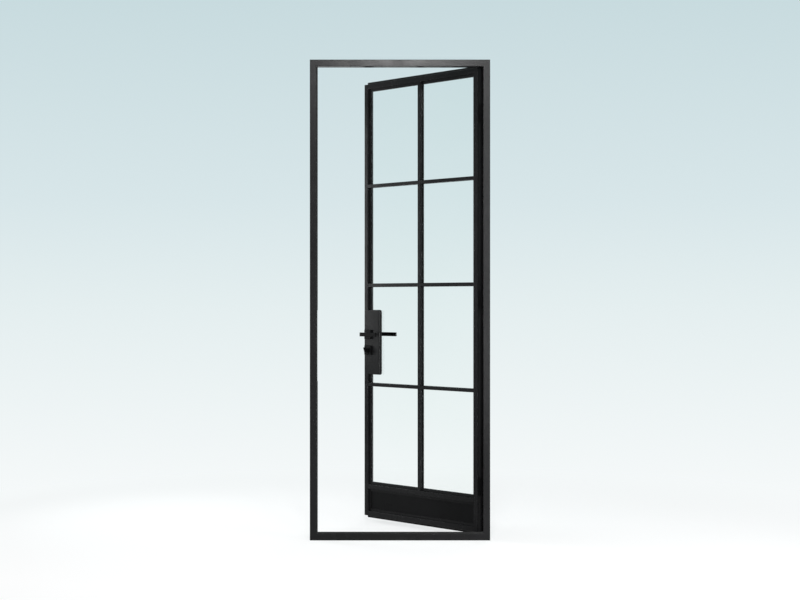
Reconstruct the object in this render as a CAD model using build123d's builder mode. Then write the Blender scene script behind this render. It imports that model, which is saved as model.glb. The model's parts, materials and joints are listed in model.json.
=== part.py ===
import os

from build123d import *

# Steel casement door hung in its welded steel frame, in millimetres with +Z up.
# The hinges are on the right (+X) and the leaf swings away from the front, to +Y.
# The origin is the middle of the frame's underside, at half the frame's depth.
# The leaf is modelled shut, and each of its pieces is then turned open about the hinge axis.

# Frame
frame_width = 900
frame_height = 2400
frame_face = 34
frame_depth = 44
frame_wall = 2
frame_corner = 2
fixing_hole_radius = 5
fixing_end_distance = 150
fixing_count = 4

# Leaf
open_angle = 45.5
leaf_gap = 2
leaf_setback = 4
leaf_wall = 2
leaf_corner = 1.5
stile_face = 24.5
mid_rail_face = 23
kick_height = 94
lip_width = 18
lip_thickness = 4
seal_space = 2
seal_width = 6
seal_clearance = 0.3

# Glazing
leg_width = 13.5
leg_setback = 11.5
leg_thickness = 4
glass_thickness = 6
glass_edge_gap = 3
bead_depth = 14
bead_chamfer = 3
bar_width = 18
bar_wall = 1.5
bar_corner = 1
stem_width = 4
stem_edge_gap = 2
pane_rows = 4
top_pane_share = 0.972

# Hinges
hinge_count = 3
hinge_end_distance = 220
hinge_height = 96
hinge_plate = 3
hinge_plate_width = 24
hinge_foot_width = 9
knuckle_radius = 7
knuckle_gap = 0.4
knuckle_lip_gap = 1
pin_radius = 4
pin_clearance = 0.05

# Lock box
lever_height = 1015
backset = 35
cylinder_drop = 85
lock_box_width = 116
lock_box_setback = 3
lock_box_rise = 131
lock_box_height = 347
lock_box_corner = 9
lock_box_bend = 5
lock_sheet = 2
housing_width = 56
housing_margin = 10
housing_gap = 2
case_thickness = 16
case_length = 68
case_height = 240
case_rise = 60
case_clearance = 0.3
faceplate_width = 20
faceplate_height = 270
faceplate_thickness = 2

# Latch, bolt and strike
latch_throw = 12
latch_width = 12
latch_height = 20
latch_tail = 12
latch_bevel = 9
bolt_throw = 20
bolt_width = 13
bolt_height = 34
bolt_guide = 8
bolt_rise = 26
bolt_clearance = 0.3
strike_width = 26
strike_height = 200
strike_clearance = 1.5

# Lever set
lever_neck_radius = 8
lever_bar_height = 21
lever_bar_depth = 10
lever_projection = 58
lever_reach = 112
lever_edge = 1
lever_clearance = 0.4
rose_size = 50
rose_thickness = 10
rose_edge = 1.5
spindle_size = 8
spindle_clearance = 0.1
spindle_grip = 25
follower_radius = 9

# Cylinder and thumb turn
cylinder_radius = 8.5
cylinder_tail = 24.5
cylinder_tail_width = 10
cylinder_projection = 3
cylinder_clearance = 0.3
keyway_width = 2
keyway_height = 9
keyway_depth = 6
turn_stem_radius = 4
turn_stem_length = 10
turn_collar_radius = 8.5
turn_collar_height = 6
turn_width = 9
turn_height = 32
turn_depth = 15
turn_edge = 2.5
turn_tilt = 20

# One overrun serves every cut that runs out of its piece.
overrun = 5

os.makedirs("parts", exist_ok=True)

# Places that follow from the sizes
frame_front = -frame_depth / 2
frame_back = frame_depth / 2
leaf_width = frame_width - 2 * (frame_face + leaf_gap)
leaf_right = leaf_width / 2
leaf_left = -leaf_right
leaf_bottom = frame_face + leaf_gap
leaf_top = frame_height - leaf_bottom
leaf_middle = (leaf_bottom + leaf_top) / 2
leaf_height = leaf_top - leaf_bottom
leaf_front = frame_front + leaf_setback
leaf_back = frame_back + seal_space + lip_thickness
leaf_depth = leaf_back - leaf_front
glass_front = leg_setback + leg_thickness
glass_back = glass_front + glass_thickness
bead_back = glass_back + bead_depth
sight_inset = stile_face + leg_width
sight_right = leaf_right - sight_inset
sight_top = leaf_top - sight_inset
kick_bottom = leaf_bottom + sight_inset
kick_top = kick_bottom + kick_height
mid_rail_bottom = kick_top + leg_width
mid_rail_top = mid_rail_bottom + mid_rail_face
sight_bottom = mid_rail_top + leg_width
panes_total = sight_top - sight_bottom - (pane_rows - 1) * bar_width
pane_height = panes_total / (pane_rows - 1 + top_pane_share)
pane_pitch = pane_height + bar_width
bar_heights = [sight_bottom + row * pane_pitch - bar_width / 2 for row in range(1, pane_rows)]
tube_right = leaf_right - stile_face
tube_top = leaf_top - stile_face

# The hinge axis stands clear of the leaf's lip, in line with the plates on the leaf's back.
axis_x = leaf_right + lip_width + knuckle_lip_gap + knuckle_radius
axis_y = leaf_back + hinge_plate / 2
swing = (
    Location((axis_x, axis_y, 0))
    * Location((0, 0, 0), (0, 0, -open_angle))
    * Location((-axis_x, -axis_y, 0))
)

spindle_x = leaf_left + backset
cylinder_height = lever_height - cylinder_drop
lock_box_top = lever_height + lock_box_rise
lock_box_bottom = lock_box_top - lock_box_height
lock_box_middle = (lock_box_top + lock_box_bottom) / 2
lock_box_left = leaf_left + lock_box_setback
lock_box_right = lock_box_left + lock_box_width
housing_height = lock_box_height - 2 * housing_margin
housing_left = leaf_left + stile_face
housing_right = housing_left + housing_width
lock_depth = leaf_depth / 2
lock_y = leaf_front + lock_depth
case_middle = lever_height + case_rise - case_height / 2
bolt_middle = cylinder_height + bolt_rise
bolt_tail = bolt_throw + bolt_guide


def save(piece, name, place=None):
    """Place a finished piece, label it and write its STEP file."""
    solid = piece.moved(place) if place else piece
    solid.label = name
    export_step(solid, f"parts/{name}.step")


def edge_plane(origin, inward):
    """Section plane of an edge bar: local x points inward, local y points to the back."""
    return Plane(origin=origin, x_dir=inward, z_dir=Vector(inward).cross(Vector(0, 1, 0)))


def face_plane(depth):
    """Plane parallel to the leaf at a depth behind its front, facing the front."""
    return Plane(origin=(0, leaf_front + depth, 0), x_dir=(1, 0, 0), z_dir=(0, -1, 0))


def mitre(plane, half_length):
    """Cut both ends of an edge bar at 45 degrees."""
    for side in (1, -1):
        corner = plane.origin + plane.z_dir * (side * half_length)
        split(bisect_by=Plane(origin=corner, z_dir=plane.x_dir + plane.z_dir * side), keep=Keep.BOTTOM)


def block(low, high, mode=Mode.ADD):
    """Box between two corners."""
    centre = [(a + b) / 2 for a, b in zip(low, high)]
    with Locations(Vector(*centre)):
        Box(*[b - a for a, b in zip(low, high)], mode=mode)


def frame_section(plane):
    """Rectangular steel tube of the frame."""
    with BuildSketch(plane) as section:
        with Locations((frame_face / 2, frame_depth / 2)):
            RectangleRounded(frame_face, frame_depth, frame_corner)
            Rectangle(frame_face - 2 * frame_wall, frame_depth - 2 * frame_wall, mode=Mode.SUBTRACT)
    return section.sketch


def leaf_section(plane, face, lips, legs):
    """Steel tube of the leaf with its lip outside and its glazing legs inside."""
    with BuildSketch(plane) as section:
        with Locations((face / 2, leaf_depth / 2)):
            RectangleRounded(face, leaf_depth, leaf_corner)
        for side in lips:
            middle = face / 2 + side * (face + lip_width - leaf_wall) / 2
            with Locations((middle, leaf_depth - lip_thickness / 2)):
                Rectangle(lip_width + leaf_wall, lip_thickness)
        for side in legs:
            middle = face / 2 + side * (face + leg_width - leaf_wall) / 2
            with Locations((middle, leg_setback + leg_thickness / 2)):
                Rectangle(leg_width + leaf_wall, leg_thickness)
        with Locations((face / 2, leaf_depth / 2)):
            Rectangle(face - 2 * leaf_wall, leaf_depth - 2 * leaf_wall, mode=Mode.SUBTRACT)
    return section.sketch


def cut_stile_legs():
    """Cope a bar round the glazing legs of both stiles."""
    for side in (1, -1):
        near, far = sorted((side * sight_right, side * tube_right))
        block(
            (near, leaf_front + leg_setback, leaf_bottom),
            (far, leaf_front + glass_front, leaf_top),
            mode=Mode.SUBTRACT,
        )


def cope_round_lock():
    """Clear the lock housing, and the cover in front of the glass, out of a piece beside the lock."""
    block(
        (leaf_left, leaf_front, lock_box_middle - housing_height / 2 - housing_gap),
        (housing_right + housing_gap, leaf_back, lock_box_middle + housing_height / 2 + housing_gap),
        mode=Mode.SUBTRACT,
    )
    block(
        (leaf_left, leaf_front, lock_box_bottom - housing_gap),
        (lock_box_right + housing_gap, leaf_front + glass_front, lock_box_top + housing_gap),
        mode=Mode.SUBTRACT,
    )


# Welded frame of four mitred tubes
lock_jamb_plane = edge_plane((-frame_width / 2, frame_front, frame_height / 2), (1, 0, 0))
hinge_jamb_plane = edge_plane((frame_width / 2, frame_front, frame_height / 2), (-1, 0, 0))
head_plane = edge_plane((0, frame_front, frame_height), (0, 0, -1))
sill_plane = edge_plane((0, frame_front, 0), (0, 0, 1))
fixing_pitch = (frame_height - 2 * fixing_end_distance) / (fixing_count - 1)
fixing_heights = [fixing_end_distance + step * fixing_pitch for step in range(fixing_count)]


def fixing_holes(outer_x):
    """Bore the holes for the wall anchors in a jamb's wall side."""
    for height in fixing_heights:
        with Locations(Location((outer_x, 0, height), (0, 90, 0))):
            Cylinder(fixing_hole_radius, 2 * (frame_wall + overrun), mode=Mode.SUBTRACT)


with BuildPart() as frame_jamb_lock:
    extrude(frame_section(lock_jamb_plane), amount=frame_height / 2, both=True)
    mitre(lock_jamb_plane, frame_height / 2)
    fixing_holes(-frame_width / 2)
    block(
        (
            -frame_width / 2 + frame_face - frame_wall,
            lock_y - strike_width / 2,
            case_middle - strike_height / 2,
        ),
        (-frame_width / 2 + frame_face, lock_y + strike_width / 2, case_middle + strike_height / 2),
        mode=Mode.SUBTRACT,
    )
save(frame_jamb_lock.part, "frame_jamb_lock")

with BuildPart() as frame_jamb_hinge:
    extrude(frame_section(hinge_jamb_plane), amount=frame_height / 2, both=True)
    mitre(hinge_jamb_plane, frame_height / 2)
    fixing_holes(frame_width / 2)
save(frame_jamb_hinge.part, "frame_jamb_hinge")

with BuildPart() as frame_head:
    extrude(frame_section(head_plane), amount=frame_width / 2, both=True)
    mitre(head_plane, frame_width / 2)
save(frame_head.part, "frame_head")

with BuildPart() as frame_sill:
    extrude(frame_section(sill_plane), amount=frame_width / 2, both=True)
    mitre(sill_plane, frame_width / 2)
save(frame_sill.part, "frame_sill")

# Strike plate let into the lock jamb, with its two pockets
strike_x = -frame_width / 2 + frame_face
strike_plane = Plane(origin=(strike_x, lock_y, case_middle), x_dir=(0, 1, 0), z_dir=(1, 0, 0))

with BuildPart() as strike_plate:
    with BuildSketch(strike_plane):
        Rectangle(strike_width, strike_height)
        with Locations((0, lever_height - case_middle)):
            Rectangle(
                latch_width + 2 * strike_clearance,
                latch_height + 2 * strike_clearance,
                mode=Mode.SUBTRACT,
            )
        with Locations((0, bolt_middle - case_middle)):
            Rectangle(
                bolt_width + 2 * strike_clearance,
                bolt_height + 2 * strike_clearance,
                mode=Mode.SUBTRACT,
            )
    extrude(amount=-frame_wall)
save(strike_plate.part, "strike_plate")

# Stiles and rails of the leaf, one tube section mitred at the corners
lock_stile_plane = edge_plane((leaf_left, leaf_front, leaf_middle), (1, 0, 0))
hinge_stile_plane = edge_plane((leaf_right, leaf_front, leaf_middle), (-1, 0, 0))
top_rail_plane = edge_plane((0, leaf_front, leaf_top), (0, 0, -1))
bottom_rail_plane = edge_plane((0, leaf_front, leaf_bottom), (0, 0, 1))
mid_rail_plane = edge_plane((0, leaf_front, mid_rail_bottom), (0, 0, 1))
outside = (-1,)
inside = (1,)

with BuildPart() as stile_lock:
    extrude(
        leaf_section(lock_stile_plane, stile_face, outside, inside),
        amount=leaf_height / 2 + lip_width,
        both=True,
    )
    mitre(lock_stile_plane, leaf_height / 2)
    block(
        (leaf_left - overrun, lock_y - faceplate_width / 2, case_middle - faceplate_height / 2),
        (
            leaf_left + faceplate_thickness,
            lock_y + faceplate_width / 2,
            case_middle + faceplate_height / 2,
        ),
        mode=Mode.SUBTRACT,
    )
    block(
        (
            leaf_left - overrun,
            lock_y - case_thickness / 2 - case_clearance,
            case_middle - case_height / 2 - case_clearance,
        ),
        (
            housing_left + overrun,
            lock_y + case_thickness / 2 + case_clearance,
            case_middle + case_height / 2 + case_clearance,
        ),
        mode=Mode.SUBTRACT,
    )
    block(
        (housing_left, leaf_front, lock_box_middle - housing_height / 2 - housing_gap),
        (housing_right, leaf_back, lock_box_middle + housing_height / 2 + housing_gap),
        mode=Mode.SUBTRACT,
    )
save(stile_lock.part, "stile_lock", swing)

with BuildPart() as stile_hinge:
    extrude(
        leaf_section(hinge_stile_plane, stile_face, outside, inside),
        amount=leaf_height / 2 + lip_width,
        both=True,
    )
    mitre(hinge_stile_plane, leaf_height / 2)
save(stile_hinge.part, "stile_hinge", swing)

with BuildPart() as rail_top:
    extrude(
        leaf_section(top_rail_plane, stile_face, outside, inside),
        amount=leaf_width / 2 + lip_width,
        both=True,
    )
    mitre(top_rail_plane, leaf_width / 2)
save(rail_top.part, "rail_top", swing)

with BuildPart() as rail_bottom:
    extrude(
        leaf_section(bottom_rail_plane, stile_face, outside, inside),
        amount=leaf_width / 2 + lip_width,
        both=True,
    )
    mitre(bottom_rail_plane, leaf_width / 2)
save(rail_bottom.part, "rail_bottom", swing)

with BuildPart() as rail_middle:
    extrude(
        leaf_section(mid_rail_plane, mid_rail_face, (), (-1, 1)),
        amount=tube_right,
        both=True,
    )
    cut_stile_legs()
save(rail_middle.part, "rail_middle", swing)

# Glazing bars: a folded box in front of the glass with a stem between the panes
upright_length = tube_top - mid_rail_top
upright_middle = (tube_top + mid_rail_top) / 2


def bar_box(plane):
    """Section of a bar's hollow box, flush with the leaf's front."""
    with BuildSketch(plane) as section:
        with Locations((0, glass_front / 2)):
            Rectangle(bar_width, glass_front)
        fillet(section.vertices().group_by(Axis.Y)[0], bar_corner)
        with Locations((0, glass_front / 2)):
            Rectangle(bar_width - 2 * bar_wall, glass_front - 2 * bar_wall, mode=Mode.SUBTRACT)
    return section.sketch


def bar_stem(plane):
    """Section of a bar's stem, which parts two panes."""
    with BuildSketch(plane) as section:
        with Locations((0, (glass_front + bead_back) / 2)):
            Rectangle(stem_width, bead_back - glass_front)
    return section.sketch


upright_plane = edge_plane((0, leaf_front, upright_middle), (1, 0, 0))
with BuildPart() as glazing_bar_upright:
    extrude(bar_box(upright_plane), amount=upright_length / 2, both=True)
    extrude(bar_stem(upright_plane), amount=upright_length / 2, both=True)
    for leg_low, leg_high in ((mid_rail_top, sight_bottom), (sight_top, tube_top)):
        block(
            (-bar_width, leaf_front + leg_setback, leg_low),
            (bar_width, leaf_front + glass_front, leg_high),
            mode=Mode.SUBTRACT,
        )
save(glazing_bar_upright.part, "glazing_bar_upright", swing)

for row, height in enumerate(bar_heights, start=1):
    for side, side_name in ((-1, "lock"), (1, "hinge")):
        start_plane = edge_plane((side * tube_right, leaf_front, height), (0, 0, side))
        with BuildPart() as glazing_bar:
            extrude(bar_box(start_plane), amount=tube_right - bar_width / 2)
            extrude(bar_stem(start_plane), amount=tube_right - stem_width / 2)
            cut_stile_legs()
            if side < 0:
                cope_round_lock()
        save(glazing_bar.part, f"glazing_bar_{row}_{side_name}", swing)

# Panes, kick panel and the beads behind them
columns = ((-1, "lock"), (1, "hinge"))
bead_rebate = (bar_width - stem_width) / 2
pane_overlap = bead_rebate - stem_edge_gap
edge_overlap = leg_width - glass_edge_gap


def pane_sight(row, side):
    """Sight rectangle of a pane, as left, right, bottom and top."""
    low = sight_bottom + row * pane_pitch
    high = sight_top if row == pane_rows - 1 else low + pane_height
    inner = bar_width / 2
    if side < 0:
        return -sight_right, -inner, low, high
    return inner, sight_right, low, high


def pane_margins(row, side, at_edge, at_bar):
    """Margins of a pane round its sight rectangle, as left, right, bottom and top."""
    left = at_edge if side < 0 else at_bar
    right = at_bar if side < 0 else at_edge
    bottom = at_edge if row == 0 else at_bar
    top = at_edge if row == pane_rows - 1 else at_bar
    return left, right, bottom, top


def grow(sight, margins):
    """Rectangle with its four margins added."""
    left, right, bottom, top = sight
    return left - margins[0], right + margins[1], bottom - margins[2], top + margins[3]


def sheet(bounds, back, thickness):
    """Flat rectangle of glass or steel, with its back at a given depth."""
    left, right, bottom, top = bounds
    block((left, leaf_front + back - thickness, bottom), (right, leaf_front + back, top))


def bead_strips(sight, outer):
    """Four bevelled beads round a sight rectangle, mitred at the corners."""
    corners = [(0, 2), (1, 2), (1, 3), (0, 3)]
    inner_points = [(sight[a], sight[b]) for a, b in corners]
    outer_points = [(outer[a], outer[b]) for a, b in corners]
    strips = []
    for index in range(4):
        after = (index + 1) % 4
        with BuildPart() as strip:
            with BuildSketch(face_plane(bead_back)):
                with BuildLine():
                    Polyline(
                        outer_points[index],
                        outer_points[after],
                        inner_points[after],
                        inner_points[index],
                        close=True,
                    )
                make_face()
            extrude(amount=bead_depth)
            middle = [(a + b) / 2 for a, b in zip(inner_points[index], inner_points[after])]
            crest = Vector(middle[0], leaf_front + bead_back, middle[1])
            chamfer(strip.edges().sort_by_distance(crest)[0], bead_chamfer)
        strips.append(strip.part.solid())
    return strips


for row in range(pane_rows):
    row_beads = []
    for side, side_name in columns:
        sight = pane_sight(row, side)
        with BuildPart() as pane:
            bounds = grow(sight, pane_margins(row, side, edge_overlap, pane_overlap))
            sheet(bounds, glass_back, glass_thickness)
            if side < 0:
                cope_round_lock()
        save(pane.part, f"glass_{row + 1}_{side_name}", swing)

        strips = bead_strips(sight, grow(sight, pane_margins(row, side, leg_width, bead_rebate)))
        for strip in strips:
            with BuildPart() as bead:
                add(strip)
                if side < 0:
                    cope_round_lock()
            row_beads.extend(bead.part.solids())
    save(Compound(row_beads), f"beads_row_{row + 1}", swing)

kick_sight = (-sight_right, sight_right, kick_bottom, kick_top)
with BuildPart() as kick_panel:
    sheet(grow(kick_sight, [edge_overlap] * 4), glass_back, glass_thickness)
save(kick_panel.part, "kick_panel", swing)
save(Compound(bead_strips(kick_sight, grow(kick_sight, [leg_width] * 4))), "beads_kick_panel", swing)

# Rubber seal on the lip, which closes on the frame's back
seal_middle = (lip_width + leaf_gap) / 2
with BuildPart() as leaf_seal:
    with BuildSketch(face_plane(leaf_depth - lip_thickness)):
        with Locations((0, leaf_middle)):
            Rectangle(
                leaf_width + 2 * seal_middle + seal_width,
                leaf_height + 2 * seal_middle + seal_width,
            )
            Rectangle(
                leaf_width + 2 * seal_middle - seal_width,
                leaf_height + 2 * seal_middle - seal_width,
                mode=Mode.SUBTRACT,
            )
    extrude(amount=seal_space - seal_clearance)
save(leaf_seal.part, "leaf_seal", swing)

# Lift-off barrel hinges: the lower knuckle on the frame, the upper one on the leaf
hinge_spacing = (leaf_height - 2 * hinge_end_distance) / (hinge_count - 1)
hinge_heights = [leaf_bottom + hinge_end_distance + step * hinge_spacing for step in range(hinge_count)]


def knuckle(low, high):
    """Solid barrel of a hinge between two heights."""
    with Locations((axis_x, axis_y, (low + high) / 2)):
        Cylinder(knuckle_radius, high - low)


def pin_bore(height):
    """Bore the knuckle of one hinge half for its pin."""
    with Locations((axis_x, axis_y, height)):
        Cylinder(pin_radius + pin_clearance, hinge_height + overrun, mode=Mode.SUBTRACT)


for number, height in enumerate(hinge_heights, start=1):
    low = height - hinge_height / 2
    high = height + hinge_height / 2
    joint_low = height - knuckle_gap / 2
    joint_high = height + knuckle_gap / 2
    with BuildPart() as hinge_frame_half:
        block(
            (axis_x - pin_radius, frame_back, low),
            (axis_x + hinge_foot_width, frame_back + hinge_plate, joint_low),
        )
        knuckle(low, joint_low)
        pin_bore(height)
    save(hinge_frame_half.part, f"hinge_{number}_frame_half")

    with BuildPart() as hinge_leaf_half:
        block(
            (axis_x - knuckle_radius - hinge_plate_width, leaf_back, joint_high),
            (axis_x, leaf_back + hinge_plate, high),
        )
        knuckle(joint_high, high)
        pin_bore(height)
    save(hinge_leaf_half.part, f"hinge_{number}_leaf_half", swing)

with BuildPart() as hinge_pins:
    for height in hinge_heights:
        with Locations((axis_x, axis_y, height)):
            Cylinder(pin_radius, hinge_height)
save(hinge_pins.part, "hinge_pins")

# Lock box: a folded cover in front, a housing through the leaf and the lock case inside


def rose_plane(height, depth):
    """Plane on the lock's centre line at a height and a depth, facing the front."""
    origin = (spindle_x, leaf_front + depth, height)
    return Plane(origin=origin, x_dir=(1, 0, 0), z_dir=(0, -1, 0))


def cylinder_outline(clearance):
    """Profile of the lock cylinder, round above with a straight tail below."""
    Circle(cylinder_radius + clearance)
    with Locations((0, -cylinder_tail / 2)):
        Rectangle(cylinder_tail_width + 2 * clearance, cylinder_tail + 2 * clearance)


def cylinder_profile(depth, clearance):
    """Sketch of the cylinder's profile at its place on a plane at a given depth."""
    with BuildSketch(rose_plane(cylinder_height, depth)) as profile:
        cylinder_outline(clearance)
    return profile.sketch


def lock_windows(left, front, back):
    """Cut the windows for the spindle and the cylinder, which the roses hide."""
    spindle_reach = lever_neck_radius + lever_clearance
    cylinder_reach = cylinder_radius + cylinder_clearance
    block(
        (left, front, lever_height - spindle_reach),
        (spindle_x + spindle_reach, back, lever_height + spindle_reach),
        mode=Mode.SUBTRACT,
    )
    block(
        (left, front, cylinder_height - cylinder_tail - cylinder_clearance),
        (spindle_x + cylinder_reach, back, cylinder_height + cylinder_reach),
        mode=Mode.SUBTRACT,
    )


with BuildPart() as lock_cover:
    with BuildSketch(face_plane(glass_front)) as outline:
        with Locations(((lock_box_left + lock_box_right) / 2, lock_box_middle)):
            Rectangle(lock_box_width, lock_box_height)
        fillet(outline.vertices().group_by(Axis.X)[-1], lock_box_corner)
    extrude(amount=glass_front + lock_sheet)
    front = lock_cover.faces().sort_by(Axis.Y)[0]
    fillet(front.edges().sort_by(Axis.X)[1:], lock_box_bend)
    with BuildSketch(face_plane(glass_front)) as inner:
        with Locations(((lock_box_left + lock_box_right - lock_sheet) / 2, lock_box_middle)):
            Rectangle(lock_box_width - lock_sheet, lock_box_height - 2 * lock_sheet)
        fillet(inner.vertices().group_by(Axis.X)[-1], lock_box_corner - lock_sheet)
    extrude(amount=glass_front, mode=Mode.SUBTRACT)
    block(
        (leaf_left, leaf_front, lock_box_bottom),
        (housing_left, leaf_front + glass_front, lock_box_top),
        mode=Mode.SUBTRACT,
    )
    cut_stile_legs()
    lock_windows(spindle_x - cylinder_radius - cylinder_clearance, leaf_front - lock_sheet, leaf_front)
save(lock_cover.part, "lock_cover", swing)

with BuildPart() as lock_housing:
    block(
        (housing_left, leaf_front, lock_box_middle - housing_height / 2),
        (housing_right, leaf_back, lock_box_middle + housing_height / 2),
    )
    block(
        (housing_left, leaf_front + lock_sheet, lock_box_middle - housing_height / 2 + lock_sheet),
        (
            housing_right - lock_sheet,
            leaf_back - lock_sheet,
            lock_box_middle + housing_height / 2 - lock_sheet,
        ),
        mode=Mode.SUBTRACT,
    )
    lock_windows(housing_left, leaf_front, leaf_back)
save(lock_housing.part, "lock_housing", swing)

case_front_x = leaf_left + faceplate_thickness
with BuildPart() as lock_case:
    block(
        (case_front_x, lock_y - case_thickness / 2, case_middle - case_height / 2),
        (case_front_x + case_length, lock_y + case_thickness / 2, case_middle + case_height / 2),
    )
    for middle, width, height, tail, throw in (
        (lever_height, latch_width, latch_height, latch_tail, latch_throw),
        (bolt_middle, bolt_width, bolt_height, bolt_tail, 0),
    ):
        block(
            (leaf_left, lock_y - width / 2 - bolt_clearance, middle - height / 2 - bolt_clearance),
            (
                leaf_left + tail + throw + bolt_clearance,
                lock_y + width / 2 + bolt_clearance,
                middle + height / 2 + bolt_clearance,
            ),
            mode=Mode.SUBTRACT,
        )
    with Locations(Location((spindle_x, lock_y, lever_height), (90, 0, 0))):
        Cylinder(follower_radius + bolt_clearance, leaf_depth, mode=Mode.SUBTRACT)
    extrude(cylinder_profile(leaf_depth, cylinder_clearance), amount=leaf_depth, mode=Mode.SUBTRACT)
save(lock_case.part, "lock_case", swing)

faceplate_plane = Plane(origin=(leaf_left, lock_y, case_middle), x_dir=(0, 1, 0), z_dir=(1, 0, 0))
with BuildPart() as lock_faceplate:
    with BuildSketch(faceplate_plane):
        Rectangle(faceplate_width, faceplate_height)
        for middle, width, height in (
            (lever_height, latch_width, latch_height),
            (bolt_middle, bolt_width, bolt_height),
        ):
            with Locations((0, middle - case_middle)):
                Rectangle(width + 2 * bolt_clearance, height + 2 * bolt_clearance, mode=Mode.SUBTRACT)
    extrude(amount=faceplate_thickness)
save(lock_faceplate.part, "lock_faceplate", swing)

# Sprung latch, bevelled on the side that meets the strike, and the dead bolt drawn in
with BuildPart() as latch_bolt:
    block(
        (leaf_left - latch_throw, lock_y - latch_width / 2, lever_height - latch_height / 2),
        (leaf_left + latch_tail, lock_y + latch_width / 2, lever_height + latch_height / 2),
    )
    nose = latch_bolt.edges().filter_by(Axis.Z).group_by(Axis.X)[0].sort_by(Axis.Y)[0]
    chamfer(nose, latch_bevel)
save(latch_bolt.part, "latch_bolt", swing)

with BuildPart() as dead_bolt:
    block(
        (leaf_left, lock_y - bolt_width / 2, bolt_middle - bolt_height / 2),
        (leaf_left + bolt_tail, lock_y + bolt_width / 2, bolt_middle + bolt_height / 2),
    )
save(dead_bolt.part, "dead_bolt", swing)

# Lever set: two levers on one square spindle, each through a square rose
lever_front_seat = -lock_sheet
lever_back_seat = leaf_depth


def lever(seat, outward):
    """Flat bar lever with a square end, on a round neck that takes the spindle."""
    seat_y = leaf_front + seat
    neck_start = seat_y + outward * lever_clearance
    arm_outer = seat_y + outward * lever_projection
    arm_inner = arm_outer - outward * lever_bar_depth
    socket_end = seat_y + outward * spindle_grip
    socket_reach = spindle_size / 2 + spindle_clearance
    half_height = lever_bar_height / 2
    with BuildPart() as bar:
        block(
            (spindle_x - half_height, min(arm_inner, arm_outer), lever_height - half_height),
            (spindle_x + lever_reach, max(arm_inner, arm_outer), lever_height + half_height),
        )
        chamfer(bar.edges(), lever_edge)
        with Locations(Location((spindle_x, (neck_start + arm_inner) / 2, lever_height), (90, 0, 0))):
            Cylinder(lever_neck_radius, abs(arm_inner - neck_start))
        block(
            (spindle_x - socket_reach, min(seat_y, socket_end), lever_height - socket_reach),
            (spindle_x + socket_reach, max(seat_y, socket_end), lever_height + socket_reach),
            mode=Mode.SUBTRACT,
        )
    return bar.part


save(lever(lever_front_seat, -1), "lever_front", swing)
save(lever(lever_back_seat, 1), "lever_back", swing)

with BuildPart() as lever_spindle:
    block(
        (
            spindle_x - spindle_size / 2,
            leaf_front + lever_front_seat - spindle_grip,
            lever_height - spindle_size / 2,
        ),
        (
            spindle_x + spindle_size / 2,
            leaf_front + lever_back_seat + spindle_grip,
            lever_height + spindle_size / 2,
        ),
    )
save(lever_spindle.part, "lever_spindle", swing)

with BuildPart() as lock_follower:
    with Locations(Location((spindle_x, lock_y, lever_height), (90, 0, 0))):
        Cylinder(follower_radius, case_thickness)
        Box(
            spindle_size + 2 * spindle_clearance,
            spindle_size + 2 * spindle_clearance,
            case_thickness,
            mode=Mode.SUBTRACT,
        )
save(lock_follower.part, "lock_follower", swing)


def rose(height, back, outward, opening):
    """Square rose with softened edges and an opening in its middle."""
    with BuildPart() as plate:
        with BuildSketch(rose_plane(height, back)):
            Rectangle(rose_size, rose_size)
        extrude(amount=rose_thickness)
        rim = plate.faces().sort_by(Axis.Y)[0 if outward < 0 else -1]
        chamfer(rim.edges(), rose_edge)
        extrude(opening, amount=rose_thickness, mode=Mode.SUBTRACT)
    return plate.part


def lever_opening(back):
    """Round opening for a lever's neck."""
    with BuildSketch(rose_plane(lever_height, back)) as hole:
        Circle(lever_neck_radius + lever_clearance)
    return hole.sketch


rose_back_depth = leaf_depth + rose_thickness
save(rose(lever_height, -lock_sheet, -1, lever_opening(-lock_sheet)), "rose_lever_front", swing)
save(rose(lever_height, rose_back_depth, 1, lever_opening(rose_back_depth)), "rose_lever_back", swing)
save(
    rose(cylinder_height, -lock_sheet, -1, cylinder_profile(-lock_sheet, cylinder_clearance)),
    "rose_cylinder_front",
    swing,
)
save(
    rose(cylinder_height, rose_back_depth, 1, cylinder_profile(rose_back_depth, cylinder_clearance)),
    "rose_cylinder_back",
    swing,
)

# Lock cylinder with a keyway at the back and a thumb turn in front
cylinder_back_depth = rose_back_depth + cylinder_projection
cylinder_front_depth = -lock_sheet - rose_thickness - cylinder_projection

with BuildPart() as lock_cylinder:
    extrude(
        cylinder_profile(cylinder_back_depth, 0),
        amount=cylinder_back_depth - cylinder_front_depth,
    )
    with BuildSketch(rose_plane(cylinder_height, cylinder_back_depth)):
        Rectangle(keyway_width, keyway_height)
    extrude(amount=keyway_depth, mode=Mode.SUBTRACT)
    with BuildSketch(rose_plane(cylinder_height, cylinder_front_depth + turn_stem_length)):
        Circle(turn_stem_radius + pin_clearance)
    extrude(amount=turn_stem_length, mode=Mode.SUBTRACT)
save(lock_cylinder.part, "lock_cylinder", swing)

turn_seat_depth = cylinder_front_depth - cylinder_clearance

with BuildPart() as thumb_turn:
    with BuildSketch(rose_plane(cylinder_height, turn_seat_depth + turn_stem_length)):
        Circle(turn_stem_radius)
    extrude(amount=turn_stem_length)
    with BuildSketch(rose_plane(cylinder_height, turn_seat_depth)):
        Circle(turn_collar_radius)
    extrude(amount=turn_collar_height)
    with BuildSketch(rose_plane(cylinder_height, turn_seat_depth - turn_collar_height)):
        SlotOverall(turn_height, turn_width, rotation=90 + turn_tilt)
    extrude(amount=turn_depth)
    chamfer(thumb_turn.faces().sort_by(Axis.Y)[0].edges(), turn_edge)
save(thumb_turn.part, "thumb_turn", swing)
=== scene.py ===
import json
import math

import bmesh
import bpy
from mathutils import Matrix, Vector


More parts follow.
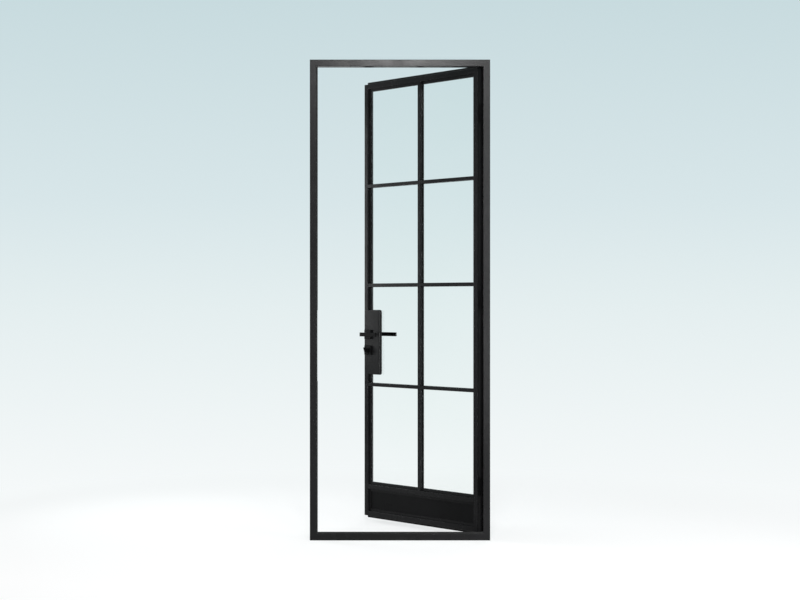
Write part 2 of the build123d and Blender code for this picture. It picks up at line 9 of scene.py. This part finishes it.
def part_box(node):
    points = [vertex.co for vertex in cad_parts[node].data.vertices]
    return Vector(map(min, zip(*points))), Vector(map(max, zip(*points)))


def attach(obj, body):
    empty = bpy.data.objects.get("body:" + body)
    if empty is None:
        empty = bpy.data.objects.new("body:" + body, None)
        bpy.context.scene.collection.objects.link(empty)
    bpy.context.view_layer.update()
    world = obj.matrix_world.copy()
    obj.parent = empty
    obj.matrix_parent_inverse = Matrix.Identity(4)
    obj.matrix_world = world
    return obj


# Steel casement door in its frame: finishes, welds, screws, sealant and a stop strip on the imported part.
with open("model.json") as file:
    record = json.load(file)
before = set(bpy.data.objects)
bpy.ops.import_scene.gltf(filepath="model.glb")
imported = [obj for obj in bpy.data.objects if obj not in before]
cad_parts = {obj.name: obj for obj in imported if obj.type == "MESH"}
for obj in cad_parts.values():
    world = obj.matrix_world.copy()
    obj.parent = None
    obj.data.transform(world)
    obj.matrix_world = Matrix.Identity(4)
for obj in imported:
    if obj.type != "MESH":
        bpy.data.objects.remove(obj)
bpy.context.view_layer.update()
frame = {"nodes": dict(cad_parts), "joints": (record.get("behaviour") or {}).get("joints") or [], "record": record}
nodes = frame["nodes"]

# View: place and reach in metres, lens and sensor in millimetres
camera_place = (0.0, -7.374, 1.2)
camera_level = (math.pi / 2, 0, 0)
camera_reach = 1000
lens_length = 66.3
sensor_width = 36.0

# Ground weld lines, in metres
seam_half_width = 0.0009
seam_height = 0.0002
seam_inset = 0.002
joint_half_width = 0.0011
joint_height = 0.0004
ridge_sides = 12

# Weld beads at the hinges, in metres; the body and the ripple are shares of the radius
weld_radius = 0.0019
foot_weld_radius = 0.0009
weld_pitch = 0.0030
weld_cuts_per_pitch = 3
weld_body = 0.86
weld_ripple = 0.14
weld_sides = 10

# Sealant, in metres; the hollow is a share of the size
sealant_front = 0.0010
sealant_back = 0.0010
sealant_corner = 0.011
sealant_hollow = 0.38

# Screws, in metres; the crown and the socket are shares of the radius and the rise
rim_screw_radius = 0.0027
rim_screw_offset = 0.0085
bar_screw_radius = 0.0019
bar_screw_offset = 0.0050
plate_screw_radius = 0.0040
plate_screw_inset = 0.010
grub_radius = 0.0020
grub_sink = 0.00025
neck_radius = 0.0080
screw_pitch = 0.20
screw_rise = 0.0004
screw_crown = 0.92
socket_inset = 0.48
socket_wall = 0.02
socket_depth = 0.9
screw_sides = 18

# Stop strip, in metres; the rounding of its nose is a share of the depth
jamb_strip_reach = 0.0055
lock_strip_reach = 0.0040
sill_strip_reach = 0.0092
strip_depth = 0.0032
strip_setback = 0.0003
strip_lock_gap = 0.0030
nose_rounding = 0.4
nose_steps = 3

# Door
pane_rows = 4
hinge_count = 3
sharp_angle = math.radians(35)

# Floor and background: one pale sweep, whitest near the viewer
white = (1.0, 1.0, 1.0, 1)
top_colour = (0.575, 0.705, 0.735, 1)
upper_colour = (0.685, 0.790, 0.815, 1)
horizon_colour = (0.775, 0.855, 0.865, 1)
top_of_sweep = 0.20
upper_of_sweep = top_of_sweep / 3
sweep_start = 7.374
sweep_round = 4.4
near_floor_distance = 5.85
floor_radius = 400
floor_sides = 64
lit_share = 0.30
lit_near = 1.2
lit_far = 3.2
world_strength = 0.12

# The leaf's pieces are placed as if it were shut, then turned open with it.
swing_joint = next(joint for joint in frame["joints"] if joint["name"] == "leaf_swing")
hinge_axis = Vector(swing_joint["pos_m"])
open_angle = math.radians(swing_joint["range_deg"][0])
leaf_open = (
    Matrix.Translation(hinge_axis)
    @ Matrix.Rotation(open_angle, 4, "Z")
    @ Matrix.Translation(-hinge_axis)
)
leaf_shut = leaf_open.inverted()

to_front = Vector((0, -1, 0))
to_back = Vector((0, 1, 0))
left = Vector((-1, 0, 0))
right = Vector((1, 0, 0))
down = Vector((0, 0, -1))
up = Vector((0, 0, 1))


def shut_box(name):
    """Lowest and highest corner of a leaf node, measured with the leaf shut."""
    places = [leaf_shut @ vertex.co for vertex in nodes[name].data.vertices]
    low = Vector([min(place[i] for place in places) for i in range(3)])
    high = Vector([max(place[i] for place in places) for i in range(3)])
    return low, high


# Finishes


def new_material(name):
    """Material with its node tree and its shader."""
    material = bpy.data.materials.new(name)
    material.use_nodes = True
    return material, material.node_tree, material.node_tree.nodes["Principled BSDF"]


def noise(tree, scale, detail, stretch=(1, 1, 1)):
    """Noise on object coordinates, stretched along the axes."""
    place = tree.nodes.new("ShaderNodeTexCoord")
    mapping = tree.nodes.new("ShaderNodeMapping")
    mapping.inputs["Scale"].default_value = stretch
    texture = tree.nodes.new("ShaderNodeTexNoise")
    texture.inputs["Scale"].default_value = scale
    texture.inputs["Detail"].default_value = detail
    tree.links.new(place.outputs["Object"], mapping.inputs["Vector"])
    tree.links.new(mapping.outputs["Vector"], texture.inputs["Vector"])
    return texture.outputs["Fac"]


def ramp(tree, value, low, high, start=0.3, end=0.7):
    """Colour ramp between two colours."""
    node = tree.nodes.new("ShaderNodeValToRGB")
    node.color_ramp.elements[0].position = start
    node.color_ramp.elements[0].color = low
    node.color_ramp.elements[1].position = end
    node.color_ramp.elements[1].color = high
    tree.links.new(value, node.inputs["Fac"])
    return node.outputs["Color"]


def grey(value, blue=0.0):
    """Opaque grey, with a touch of blue where it is given."""
    return (value, value, value * (1 + blue), 1)


def relief(tree, shader, value, strength, distance):
    """Bump from a texture's value."""
    node = tree.nodes.new("ShaderNodeBump")
    node.inputs["Strength"].default_value = strength
    node.inputs["Distance"].default_value = distance
    tree.links.new(value, node.inputs["Height"])
    tree.links.new(node.outputs["Normal"], shader.inputs["Normal"])


def powder_coat(name, dark, light, smooth, rough, peel, shine):
    """Powder coat: fine orange peel, with slow changes of tone and gloss."""
    material, tree, shader = new_material(name)
    clouds = noise(tree, scale=3.5, detail=4)
    tone = ramp(tree, clouds, grey(dark, blue=0.05), grey(light, blue=0.05))
    tree.links.new(tone, shader.inputs["Base Color"])
    patches = noise(tree, scale=11, detail=5)
    gloss = ramp(tree, patches, grey(smooth), grey(rough))
    tree.links.new(gloss, shader.inputs["Roughness"])
    shader.inputs["Specular IOR Level"].default_value = shine
    orange_peel = noise(tree, scale=620, detail=2)
    relief(tree, shader, orange_peel, strength=peel, distance=0.0004)
    return material


def brushed_steel(name, dark, light, smooth, rough):
    """Bare steel with its grain along the height."""
    material, tree, shader = new_material(name)
    shader.inputs["Metallic"].default_value = 1.0
    grain = noise(tree, scale=900, detail=3, stretch=(1, 1, 0.03))
    tree.links.new(ramp(tree, grain, grey(dark), grey(light)), shader.inputs["Base Color"])
    tree.links.new(ramp(tree, grain, grey(smooth), grey(rough)), shader.inputs["Roughness"])
    relief(tree, shader, grain, strength=0.15, distance=0.0002)
    return material


def clear_glass(name, greener, clearer):
    """Clear float glass with a faint cast of green."""
    material, tree, shader = new_material(name)
    tone = ramp(tree, noise(tree, scale=2, detail=2), greener, clearer)
    tree.links.new(tone, shader.inputs["Base Color"])
    shader.inputs["Roughness"].default_value = 0.0
    shader.inputs["IOR"].default_value = 1.5
    shader.inputs["Transmission Weight"].default_value = 1.0
    return material


def soft_rubber(name, dark, light, rough, shine):
    """Dull rubber or sealant with a slightly mottled face."""
    material, tree, shader = new_material(name)
    mottle = noise(tree, scale=140, detail=4)
    tree.links.new(ramp(tree, mottle, grey(dark), grey(light)), shader.inputs["Base Color"])
    shader.inputs["Roughness"].default_value = rough
    shader.inputs["Specular IOR Level"].default_value = shine
    relief(tree, shader, mottle, strength=0.2, distance=0.0003)
    return material


finishes = {
    "black_steel": powder_coat(
        "black_powder_coat", dark=0.006, light=0.009, smooth=0.22, rough=0.30, peel=0.10, shine=0.08
    ),
    # Painted shade: a darker, less glossy copy of the same black powder coat for the kick panel, standing in for
    # the shade the low panel falls in. It is not a different paint.
    "kick_painted_shade": powder_coat(
        "black_kick_painted_shade", dark=0.003, light=0.005, smooth=0.26, rough=0.34, peel=0.10, shine=0.05
    ),
    "hardware_black": powder_coat(
        "black_hardware", dark=0.002, light=0.004, smooth=0.34, rough=0.42, peel=0.05, shine=0.03
    ),
    "bright_steel": brushed_steel("brushed_bolt_steel", dark=0.40, light=0.58, smooth=0.28, rough=0.42),
    "glass": clear_glass("clear_glass", greener=(0.95, 0.98, 0.97, 1), clearer=(0.97, 0.99, 0.985, 1)),
    "seal_rubber": soft_rubber("black_seal_rubber", dark=0.003, light=0.006, rough=0.75, shine=0.2),
}

for part in frame["record"]["subparts"]:
    mesh = nodes[part["node"]].data
    mesh.materials.clear()
    # The kick panel takes the darker copy of the powder coat, which is painted shade.
    finish = "kick_painted_shade" if part["node"] == "kick_panel" else part["material_slot"]
    mesh.materials.append(finishes[finish])


# Making of small pieces


def finish_piece(name, bm, slot, body, turned=False):
    """Turn a bmesh into a piece with its finish, riding on its body."""
    if turned:
        bmesh.ops.transform(bm, matrix=leaf_open, verts=bm.verts)
    bmesh.ops.recalc_face_normals(bm, faces=bm.faces)
    mesh = bpy.data.meshes.new(name)
    bm.to_mesh(mesh)
    bm.free()
    mesh.shade_smooth()
    mesh.set_sharp_from_angle(angle=sharp_angle)
    mesh.materials.append(finishes[slot])
    piece = bpy.data.objects.new(name, mesh)
    bpy.context.scene.collection.objects.link(piece)
    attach(piece, body)


def join(bm, other):
    """Move the shape of one bmesh into another."""
    mesh = bpy.data.meshes.new("joined")
    other.to_mesh(mesh)
    other.free()
    bm.from_mesh(mesh)
    bpy.data.meshes.remove(mesh)


def draw_out(bm, corners, start, end):
    """Bar with the given corners as its section, drawn out along a line."""
    face = bm.faces.new([bm.verts.new(start + corner) for corner in corners])
    grown = bmesh.ops.extrude_face_region(bm, geom=[face], use_keep_orig=True)
    far = [item for item in grown["geom"] if isinstance(item, bmesh.types.BMVert)]
    bmesh.ops.translate(bm, vec=end - start, verts=far)


def aim(start, end, over):
    """Matrix at the middle of a line, with its Z along it and its Y towards over."""
    along = (end - start).normalized()
    side = over.cross(along).normalized()
    turn = Matrix((side, along.cross(side), along)).transposed().to_4x4()
    return Matrix.Translation((start + end) / 2) @ turn


def add_ridge(bm, start, end, outward, half_width, height):
    """Low rounded ridge along a line on a face, such as a ground weld."""
    length = (end - start).length
    matrix = aim(start, end, outward) @ Matrix.Diagonal((half_width, height, 1, 1))
    bmesh.ops.create_cone(
        bm, cap_ends=True, segments=ridge_sides, radius1=1, radius2=1, depth=length, matrix=matrix
    )


def add_weld(bm, start, end, outward, radius):
    """Rippled weld bead laid along a line on a face."""
    length = (end - start).length
    bead = bmesh.new()
    bmesh.ops.create_cone(
        bead, cap_ends=True, segments=weld_sides, radius1=radius, radius2=radius, depth=length
    )
    runs = [edge for edge in bead.edges if abs(edge.verts[0].co.z - edge.verts[1].co.z) > length / 2]
    bmesh.ops.subdivide_edges(bead, edges=runs, cuts=int(weld_cuts_per_pitch * length / weld_pitch))
    for vertex in bead.verts:
        swell = weld_body + weld_ripple * math.cos(2 * math.pi * vertex.co.z / weld_pitch)
        vertex.co.x *= swell
        vertex.co.y *= swell
    bmesh.ops.transform(bead, matrix=aim(start, end, outward), verts=bead.verts)
    join(bm, bead)


def add_fillet(bm, start, end, first, second, size):
    """Strip of sealant in the corner between two faces, hollowed a little."""
    hollow = (first + second) * (size * sealant_hollow)
    draw_out(bm, [Vector((0, 0, 0)), first * size, hollow, second * size], start, end)


def add_screw(bm, place, outward, radius):
    """Countersunk screw head with a sunk socket."""
    head = bmesh.new()
    disc = bmesh.ops.create_circle(head, cap_ends=True, segments=screw_sides, radius=radius)
    face = disc["verts"][0].link_faces[0]
    grown = bmesh.ops.extrude_face_region(head, geom=[face], use_keep_orig=True)
    top = [item for item in grown["geom"] if isinstance(item, bmesh.types.BMVert)]
    crown = next(item for item in grown["geom"] if isinstance(item, bmesh.types.BMFace))
    bmesh.ops.translate(head, vec=(0, 0, screw_rise), verts=top)
    bmesh.ops.scale(head, vec=(screw_crown, screw_crown, 1), verts=top)
    bmesh.ops.inset_region(head, faces=[crown], thickness=radius * socket_inset, depth=0)
    bmesh.ops.inset_region(
        head, faces=[crown], thickness=radius * socket_wall, depth=-screw_rise * socket_depth
    )
    over = up if outward.y else to_front
    matrix = aim(place, place + outward, over)
    matrix.translation = place
    bmesh.ops.transform(head, matrix=matrix, verts=head.verts)
    join(bm, head)


def add_strip(bm, start, end, inward, reach):
    """Rubber strip standing on an inner face of the frame, with its nose rounded."""
    strip = bmesh.new()
    nose_line = inward * reach
    thickness = to_back * strip_depth
    draw_out(strip, [Vector((0, 0, 0)), nose_line, nose_line + thickness, thickness], start, end)
    at_nose = [vertex for vertex in strip.verts if (vertex.co - start).dot(inward) > reach / 2]
    nose = [
        edge for edge in strip.edges
        if edge.verts[0] in at_nose and edge.verts[1] in at_nose and edge.calc_length() > 2 * strip_depth
    ]
    bmesh.ops.bevel(
        strip,
        geom=nose,
        offset=strip_depth * nose_rounding,
        affect="EDGES",
        segments=nose_steps,
        profile=0.5,
        material=-1,
    )
    join(bm, strip)


def spread(low, high):
    """Even places between two ends, about one screw pitch apart."""
    count = max(1, round((high - low) / screw_pitch))
    step = (high - low) / count
    return [low + step * (index + 0.5) for index in range(count)]


def corner_seams(name, low, high, member, body, turned):
    """Ground weld lines across the four mitres of a frame, in front and behind."""
    bm = bmesh.new()
    for depth, outward in ((low.y, to_front), (high.y, to_back)):
        for x_end, x_way in ((low.x, 1), (high.x, -1)):
            for z_end, z_way in ((low.z, 1), (high.z, -1)):
                across = Vector((x_way, 0, z_way))
                corner = Vector((x_end, depth, z_end))
                start = corner + across * seam_inset
                end = corner + across * (member - seam_inset / 2)
                add_ridge(bm, start, end, outward, seam_half_width, seam_height)
    finish_piece(name, bm, "black_steel", body, turned)


# Frame: welds and strike screws
jamb_low, jamb_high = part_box("frame_jamb_lock")
hinge_jamb_low, hinge_jamb_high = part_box("frame_jamb_hinge")
frame_member = jamb_high.x - jamb_low.x
corner_seams("frame_weld_seams", jamb_low, hinge_jamb_high, frame_member, "frame", turned=False)

strike_low, strike_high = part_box("strike_plate")
bm = bmesh.new()
for height in (strike_low.z + plate_screw_inset, strike_high.z - plate_screw_inset):
    middle = Vector((strike_high.x, (strike_low.y + strike_high.y) / 2, height))
    add_screw(bm, middle, right, plate_screw_radius)
finish_piece("strike_plate_screws", bm, "bright_steel", "frame")

# Leaf: welds and lock screws
lock_low, lock_high = shut_box("stile_lock")
hinge_low, hinge_high = shut_box("stile_hinge")
faceplate_low, faceplate_high = shut_box("lock_faceplate")
cover_low, cover_high = shut_box("lock_cover")
housing_low, housing_high = shut_box("lock_housing")
cylinder_low, cylinder_high = shut_box("lock_cylinder")
leaf_left = faceplate_low.x
leaf_right = -leaf_left
lip = leaf_left - lock_low.x
leaf_low = Vector((leaf_left, lock_low.y, lock_low.z + lip))
leaf_high = Vector((leaf_right, lock_high.y, lock_high.z - lip))
leaf_member = housing_low.x - leaf_left
corner_seams("leaf_weld_seams", leaf_low, leaf_high, leaf_member, "leaf", turned=True)

bm = bmesh.new()
plate_middle = (faceplate_low.y + faceplate_high.y) / 2
screw_heights = (
    faceplate_low.z + plate_screw_inset,
    cylinder_low.z + (cylinder_high.z - cylinder_low.z) / 3,
    faceplate_high.z - plate_screw_inset,
)
for height in screw_heights:
    add_screw(bm, Vector((faceplate_low.x, plate_middle, height)), left, plate_screw_radius)
finish_piece("faceplate_screws", bm, "bright_steel", "leaf", turned=True)

# Weld beads round the hinge plates
bm = bmesh.new()
for number in range(1, hinge_count + 1):
    low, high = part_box(f"hinge_{number}_frame_half")
    edge = Vector((high.x, jamb_high.y, 0))
    add_weld(bm, edge + up * low.z, edge + up * high.z, to_back, foot_weld_radius)
finish_piece("hinge_welds_frame", bm, "black_steel", "frame")

bm = bmesh.new()
for number in range(1, hinge_count + 1):
    low, high = shut_box(f"hinge_{number}_leaf_half")
    edge = Vector((low.x, leaf_high.y, 0))
    stop = Vector((hinge_high.x, leaf_high.y, 0))
    add_weld(bm, edge + up * low.z, edge + up * high.z, to_back, weld_radius)
    for height in (low.z, high.z):
        add_weld(bm, edge + up * height, stop + up * height, to_back, weld_radius)
finish_piece("hinge_welds_leaf", bm, "black_steel", "leaf", turned=True)

# Stop strip on the lock jamb and the sill, kept clear of the lock cover
sill_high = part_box("frame_sill")[1]
head_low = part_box("frame_head")[0]
strip_front = jamb_low.y + strip_setback
strip_foot = sill_high.z + sill_strip_reach
lock_stop_low = cover_low.z - strip_lock_gap
lock_stop_high = cover_high.z + strip_lock_gap
jamb_runs = (
    (strip_foot, lock_stop_low, jamb_strip_reach),
    (lock_stop_low, lock_stop_high, lock_strip_reach),
    (lock_stop_high, head_low.z, jamb_strip_reach),
)
jamb_face = Vector((jamb_high.x, strip_front, 0))
bm = bmesh.new()
for start, end, reach in jamb_runs:
    add_strip(bm, jamb_face + up * start, jamb_face + up * end, right, reach)
sill_start = Vector((jamb_high.x, strip_front, sill_high.z))
sill_end = Vector((hinge_jamb_low.x, strip_front, sill_high.z))
add_strip(bm, sill_start, sill_end, up, sill_strip_reach)
finish_piece("frame_stop_strip", bm, "seal_rubber", "frame")

# Panes: sight edges, sealant and bead screws
glass_low, glass_high = shut_box("glass_1_lock")
bead_back = shut_box("beads_row_1")[1].y
upright_low, upright_high = shut_box("glazing_bar_upright")
top_rail_low = shut_box("rail_top")[0]
mid_rail_low, mid_rail_high = shut_box("rail_middle")
bottom_rail_high = shut_box("rail_bottom")[1]
bar_boxes = [shut_box(f"glazing_bar_{row}_hinge") for row in range(1, pane_rows)]
row_bottoms = [mid_rail_high.z] + [high.z for low, high in bar_boxes]
row_tops = [low.z for low, high in bar_boxes] + [top_rail_low.z]
columns = ((lock_high.x, upright_low.x), (upright_high.x, hinge_low.x))


def clear_spans(low, high, gap_low, gap_high):
    """Parts of a span that a gap leaves."""
    if gap_high <= low or gap_low >= high:
        return [(low, high)]
    return [(low, gap_low), (gap_high, high)]


def ring_sealant(bm, sight, face_y, outward, size, keep_out):
    """Sealant round a sight rectangle on one face of the glass."""
    x_low, x_high, z_low, z_high = sight
    for z, inward in ((z_low, up), (z_high, down)):
        add_fillet(bm, Vector((x_low, face_y, z)), Vector((x_high, face_y, z)), inward, outward, size)
    for x, inward in ((x_low, right), (x_high, left)):
        spans = [(z_low, z_high)]
        if keep_out and x == x_low:
            spans = clear_spans(z_low, z_high, *keep_out)
        for start, end in spans:
            add_fillet(bm, Vector((x, face_y, start)), Vector((x, face_y, end)), inward, outward, size)


def cover_sealant(bm, face_y):
    """Sealant where the lock cover's walls meet the glass."""
    x_low, x_high = lock_high.x, cover_high.x
    z_low, z_high = cover_low.z, cover_high.z
    right_start = Vector((x_high, face_y, z_low + sealant_corner))
    right_end = Vector((x_high, face_y, z_high - sealant_corner))
    add_fillet(bm, right_start, right_end, right, to_front, sealant_front)
    for z, way in ((z_low, down), (z_high, up)):
        start = Vector((x_low, face_y, z))
        end = Vector((x_high - sealant_corner, face_y, z))
        add_fillet(bm, start, end, way, to_front, sealant_front)


def bead_screws(bm, sight, at_rim):
    """Screws along the four beads behind a pane. at_rim tells left, right, bottom and top rims."""
    x_low, x_high, z_low, z_high = sight
    sides = (
        (x_low, -1, at_rim[0], "x"),
        (x_high, 1, at_rim[1], "x"),
        (z_low, -1, at_rim[2], "z"),
        (z_high, 1, at_rim[3], "z"),
    )
    for edge, way, rim, across in sides:
        offset = rim_screw_offset if rim else bar_screw_offset
        radius = rim_screw_radius if rim else bar_screw_radius
        line = edge + way * offset
        if across == "x":
            places = [Vector((line, bead_back, along)) for along in spread(z_low, z_high)]
        else:
            places = [Vector((along, bead_back, line)) for along in spread(x_low, x_high)]
        for place in places:
            at_lock_height = housing_low.z - radius < place.z < housing_high.z + radius
            if not (at_lock_height and place.x < housing_high.x):
                add_screw(bm, place, to_back, radius)


for row in range(pane_rows):
    sealant = bmesh.new()
    screws = bmesh.new()
    for column, (x_low, x_high) in enumerate(columns):
        sight = (x_low, x_high, row_bottoms[row], row_tops[row])
        beside_lock = column == 0 and row_bottoms[row] < cover_low.z < row_tops[row]
        front_gap = (cover_low.z, cover_high.z) if beside_lock else None
        back_gap = (housing_low.z, housing_high.z) if beside_lock else None
        ring_sealant(sealant, sight, glass_low.y, to_front, sealant_front, front_gap)
        ring_sealant(sealant, sight, glass_high.y, to_back, sealant_back, back_gap)
        if beside_lock:
            cover_sealant(sealant, glass_low.y)
        at_rim = (column == 0, column == 1, row == 0, row == pane_rows - 1)
        bead_screws(screws, sight, at_rim)
    finish_piece(f"sealant_row_{row + 1}", sealant, "seal_rubber", "leaf", turned=True)
    finish_piece(f"bead_screws_row_{row + 1}", screws, "hardware_black", "leaf", turned=True)

kick_sight = (lock_high.x, hinge_low.x, bottom_rail_high.z, mid_rail_low.z)
screws = bmesh.new()
bead_screws(screws, kick_sight, (True, True, True, True))
finish_piece("bead_screws_kick_panel", screws, "hardware_black", "leaf", turned=True)

# Ground welds where the cross bars meet the upright bar and the stiles
bar_ends = (upright_low.x, upright_high.x, leaf_left + leaf_member, leaf_right - leaf_member)
bm = bmesh.new()
for low, high in bar_boxes:
    for x in bar_ends:
        start = Vector((x, leaf_low.y, low.z))
        end = Vector((x, leaf_low.y, high.z))
        add_ridge(bm, start, end, to_front, joint_half_width, joint_height)
finish_piece("glazing_bar_welds", bm, "black_steel", "leaf", turned=True)

# Grub screws under the levers' necks
bm = bmesh.new()
for node, outward in (("lever_front", -1), ("lever_back", 1)):
    low, high = shut_box(node)
    neck_x = low.x + (high.z - low.z) / 2
    seat_y = high.y if outward < 0 else low.y
    neck_y = seat_y + outward * (high.z - low.z)
    neck_underside = (low.z + high.z) / 2 - neck_radius + grub_sink
    add_screw(bm, Vector((neck_x, neck_y, neck_underside)), down, grub_radius)
finish_piece("lever_grub_screws", bm, "bright_steel", "lever", turned=True)


# Floor and background


def math_node(tree, operation, first, second):
    """Math node on two sockets or numbers."""
    node = tree.nodes.new("ShaderNodeMath")
    node.operation = operation
    for socket, value in zip(node.inputs, (first, second)):
        if isinstance(value, (int, float)):
            socket.default_value = value
        else:
            tree.links.new(value, socket)
    return node.outputs["Value"]


def straight_rays(tree):
    """One for rays that show the background as it is: from the camera, off gloss or through glass."""
    rays = tree.nodes.new("ShaderNodeLightPath").outputs
    through = math_node(tree, "MAXIMUM", rays["Is Camera Ray"], rays["Is Transmission Ray"])
    return math_node(tree, "MAXIMUM", through, rays["Is Glossy Ray"])


def pale_floor():
    """Floor that glows in the sweep's colours and takes the object's shadow round its foot."""
    material, tree, shader = new_material("pale_floor")
    place = tree.nodes.new("ShaderNodeTexCoord").outputs["Object"]
    split = tree.nodes.new("ShaderNodeSeparateXYZ")
    tree.links.new(place, split.inputs["Vector"])
    reach = tree.nodes.new("ShaderNodeVectorMath")
    reach.operation = "LENGTH"
    tree.links.new(place, reach.inputs[0])
    behind = math_node(tree, "ADD", split.outputs["Y"], sweep_start)
    around = math_node(tree, "ADD", reach.outputs["Value"], sweep_round)
    away = math_node(tree, "MAXIMUM", behind, around)
    nearness = math_node(tree, "DIVIDE", near_floor_distance, away)
    nearness.node.use_clamp = True
    sweep = ramp(tree, nearness, horizon_colour, white, start=0.0, end=1.0)
    tree.links.new(sweep, shader.inputs["Base Color"])
    shader.inputs["Roughness"].default_value = 1.0
    shader.inputs["Specular IOR Level"].default_value = 0.0
    glow = tree.nodes.new("ShaderNodeEmission")
    tree.links.new(sweep, glow.inputs["Color"])
    share = tree.nodes.new("ShaderNodeMapRange")
    share.interpolation_type = "SMOOTHSTEP"
    share.inputs["From Min"].default_value = lit_near
    share.inputs["From Max"].default_value = lit_far
    share.inputs["To Min"].default_value = 1 - lit_share
    share.inputs["To Max"].default_value = 1.0
    tree.links.new(reach.outputs["Value"], share.inputs["Value"])
    mix = tree.nodes.new("ShaderNodeMixShader")
    glow_share = math_node(tree, "MULTIPLY", straight_rays(tree), share.outputs["Result"])
    tree.links.new(glow_share, mix.inputs["Fac"])
    tree.links.new(shader.outputs["BSDF"], mix.inputs[1])
    tree.links.new(glow.outputs["Emission"], mix.inputs[2])
    tree.links.new(mix.outputs["Shader"], tree.nodes["Material Output"].inputs["Surface"])
    return material


def studio_world():
    """World that lights the door evenly and shows the upper colours of the sweep behind it."""
    world = bpy.data.worlds.new("studio")
    world.use_nodes = True
    tree = world.node_tree
    lit = tree.nodes["Background"]
    lit.inputs["Color"].default_value = white
    lit.inputs["Strength"].default_value = world_strength
    split = tree.nodes.new("ShaderNodeSeparateXYZ")
    place = tree.nodes.new("ShaderNodeTexCoord").outputs["Generated"]
    tree.links.new(place, split.inputs["Vector"])
    sky = ramp(tree, split.outputs["Z"], horizon_colour, top_colour, start=0.0, end=top_of_sweep)
    sky.node.color_ramp.elements.new(upper_of_sweep).color = upper_colour
    seen = tree.nodes.new("ShaderNodeBackground")
    tree.links.new(sky, seen.inputs["Color"])
    choose = tree.nodes.new("ShaderNodeMixShader")
    tree.links.new(straight_rays(tree), choose.inputs["Fac"])
    tree.links.new(lit.outputs["Background"], choose.inputs[1])
    tree.links.new(seen.outputs["Background"], choose.inputs[2])
    tree.links.new(choose.outputs["Shader"], tree.nodes["World Output"].inputs["Surface"])
    return world


floor_mesh = bpy.data.meshes.new("floor")
bm = bmesh.new()
bmesh.ops.create_circle(bm, cap_ends=True, segments=floor_sides, radius=floor_radius)
bm.to_mesh(floor_mesh)
bm.free()
floor_mesh.materials.append(pale_floor())
floor = bpy.data.objects.new("floor", floor_mesh)
bpy.context.scene.collection.objects.link(floor)

bpy.context.scene.world = studio_world()


# Lamps: sizes in metres, power in watts


def soft_lamp(name, place, target, size, power):
    """Softbox that looks at a point and isn't seen through the glass."""
    lamp = bpy.data.lights.new(name, "AREA")
    lamp.shape = "RECTANGLE"
    lamp.size, lamp.size_y = size
    lamp.energy = power
    light = bpy.data.objects.new(name, lamp)
    light.location = place
    light.rotation_euler = (Vector(target) - Vector(place)).to_track_quat("-Z", "Y").to_euler()
    light.visible_transmission = False
    bpy.context.scene.collection.objects.link(light)


soft_lamp("key_lamp", place=(0.0, -4.5, 3.4), target=(0.1, 0.0, 1.7), size=(0.6, 0.6), power=155)
soft_lamp("strip_lamp", place=(0.85, -4.5, 1.7), target=(0.43, 0.0, 1.3), size=(0.3, 3.0), power=60)
soft_lamp("left_lamp", place=(-2.3, 1.3, 1.68), target=(-0.15, 0.6, 1.68), size=(0.9, 1.55), power=52)
soft_lamp("right_lamp", place=(2.8, -2.7, 0.6), target=(0.0, 0.0, 0.5), size=(1.0, 1.0), power=180)
soft_lamp("top_lamp", place=(0.1, 0.0, 4.6), target=(0.1, 0.2, 0.0), size=(2.0, 2.0), power=35)
soft_lamp("back_lamp", place=(1.5, 4.5, 3.6), target=(0.1, 0.3, 1.3), size=(2.5, 2.5), power=90)

# Camera
camera_data = bpy.data.cameras.new("camera")
camera_data.lens = lens_length
camera_data.sensor_width = sensor_width
camera_data.clip_end = camera_reach
camera = bpy.data.objects.new("camera", camera_data)
camera.location = camera_place
camera.rotation_euler = camera_level
bpy.context.scene.collection.objects.link(camera)
bpy.context.scene.camera = camera

bpy.context.scene.view_settings.view_transform = "Standard"
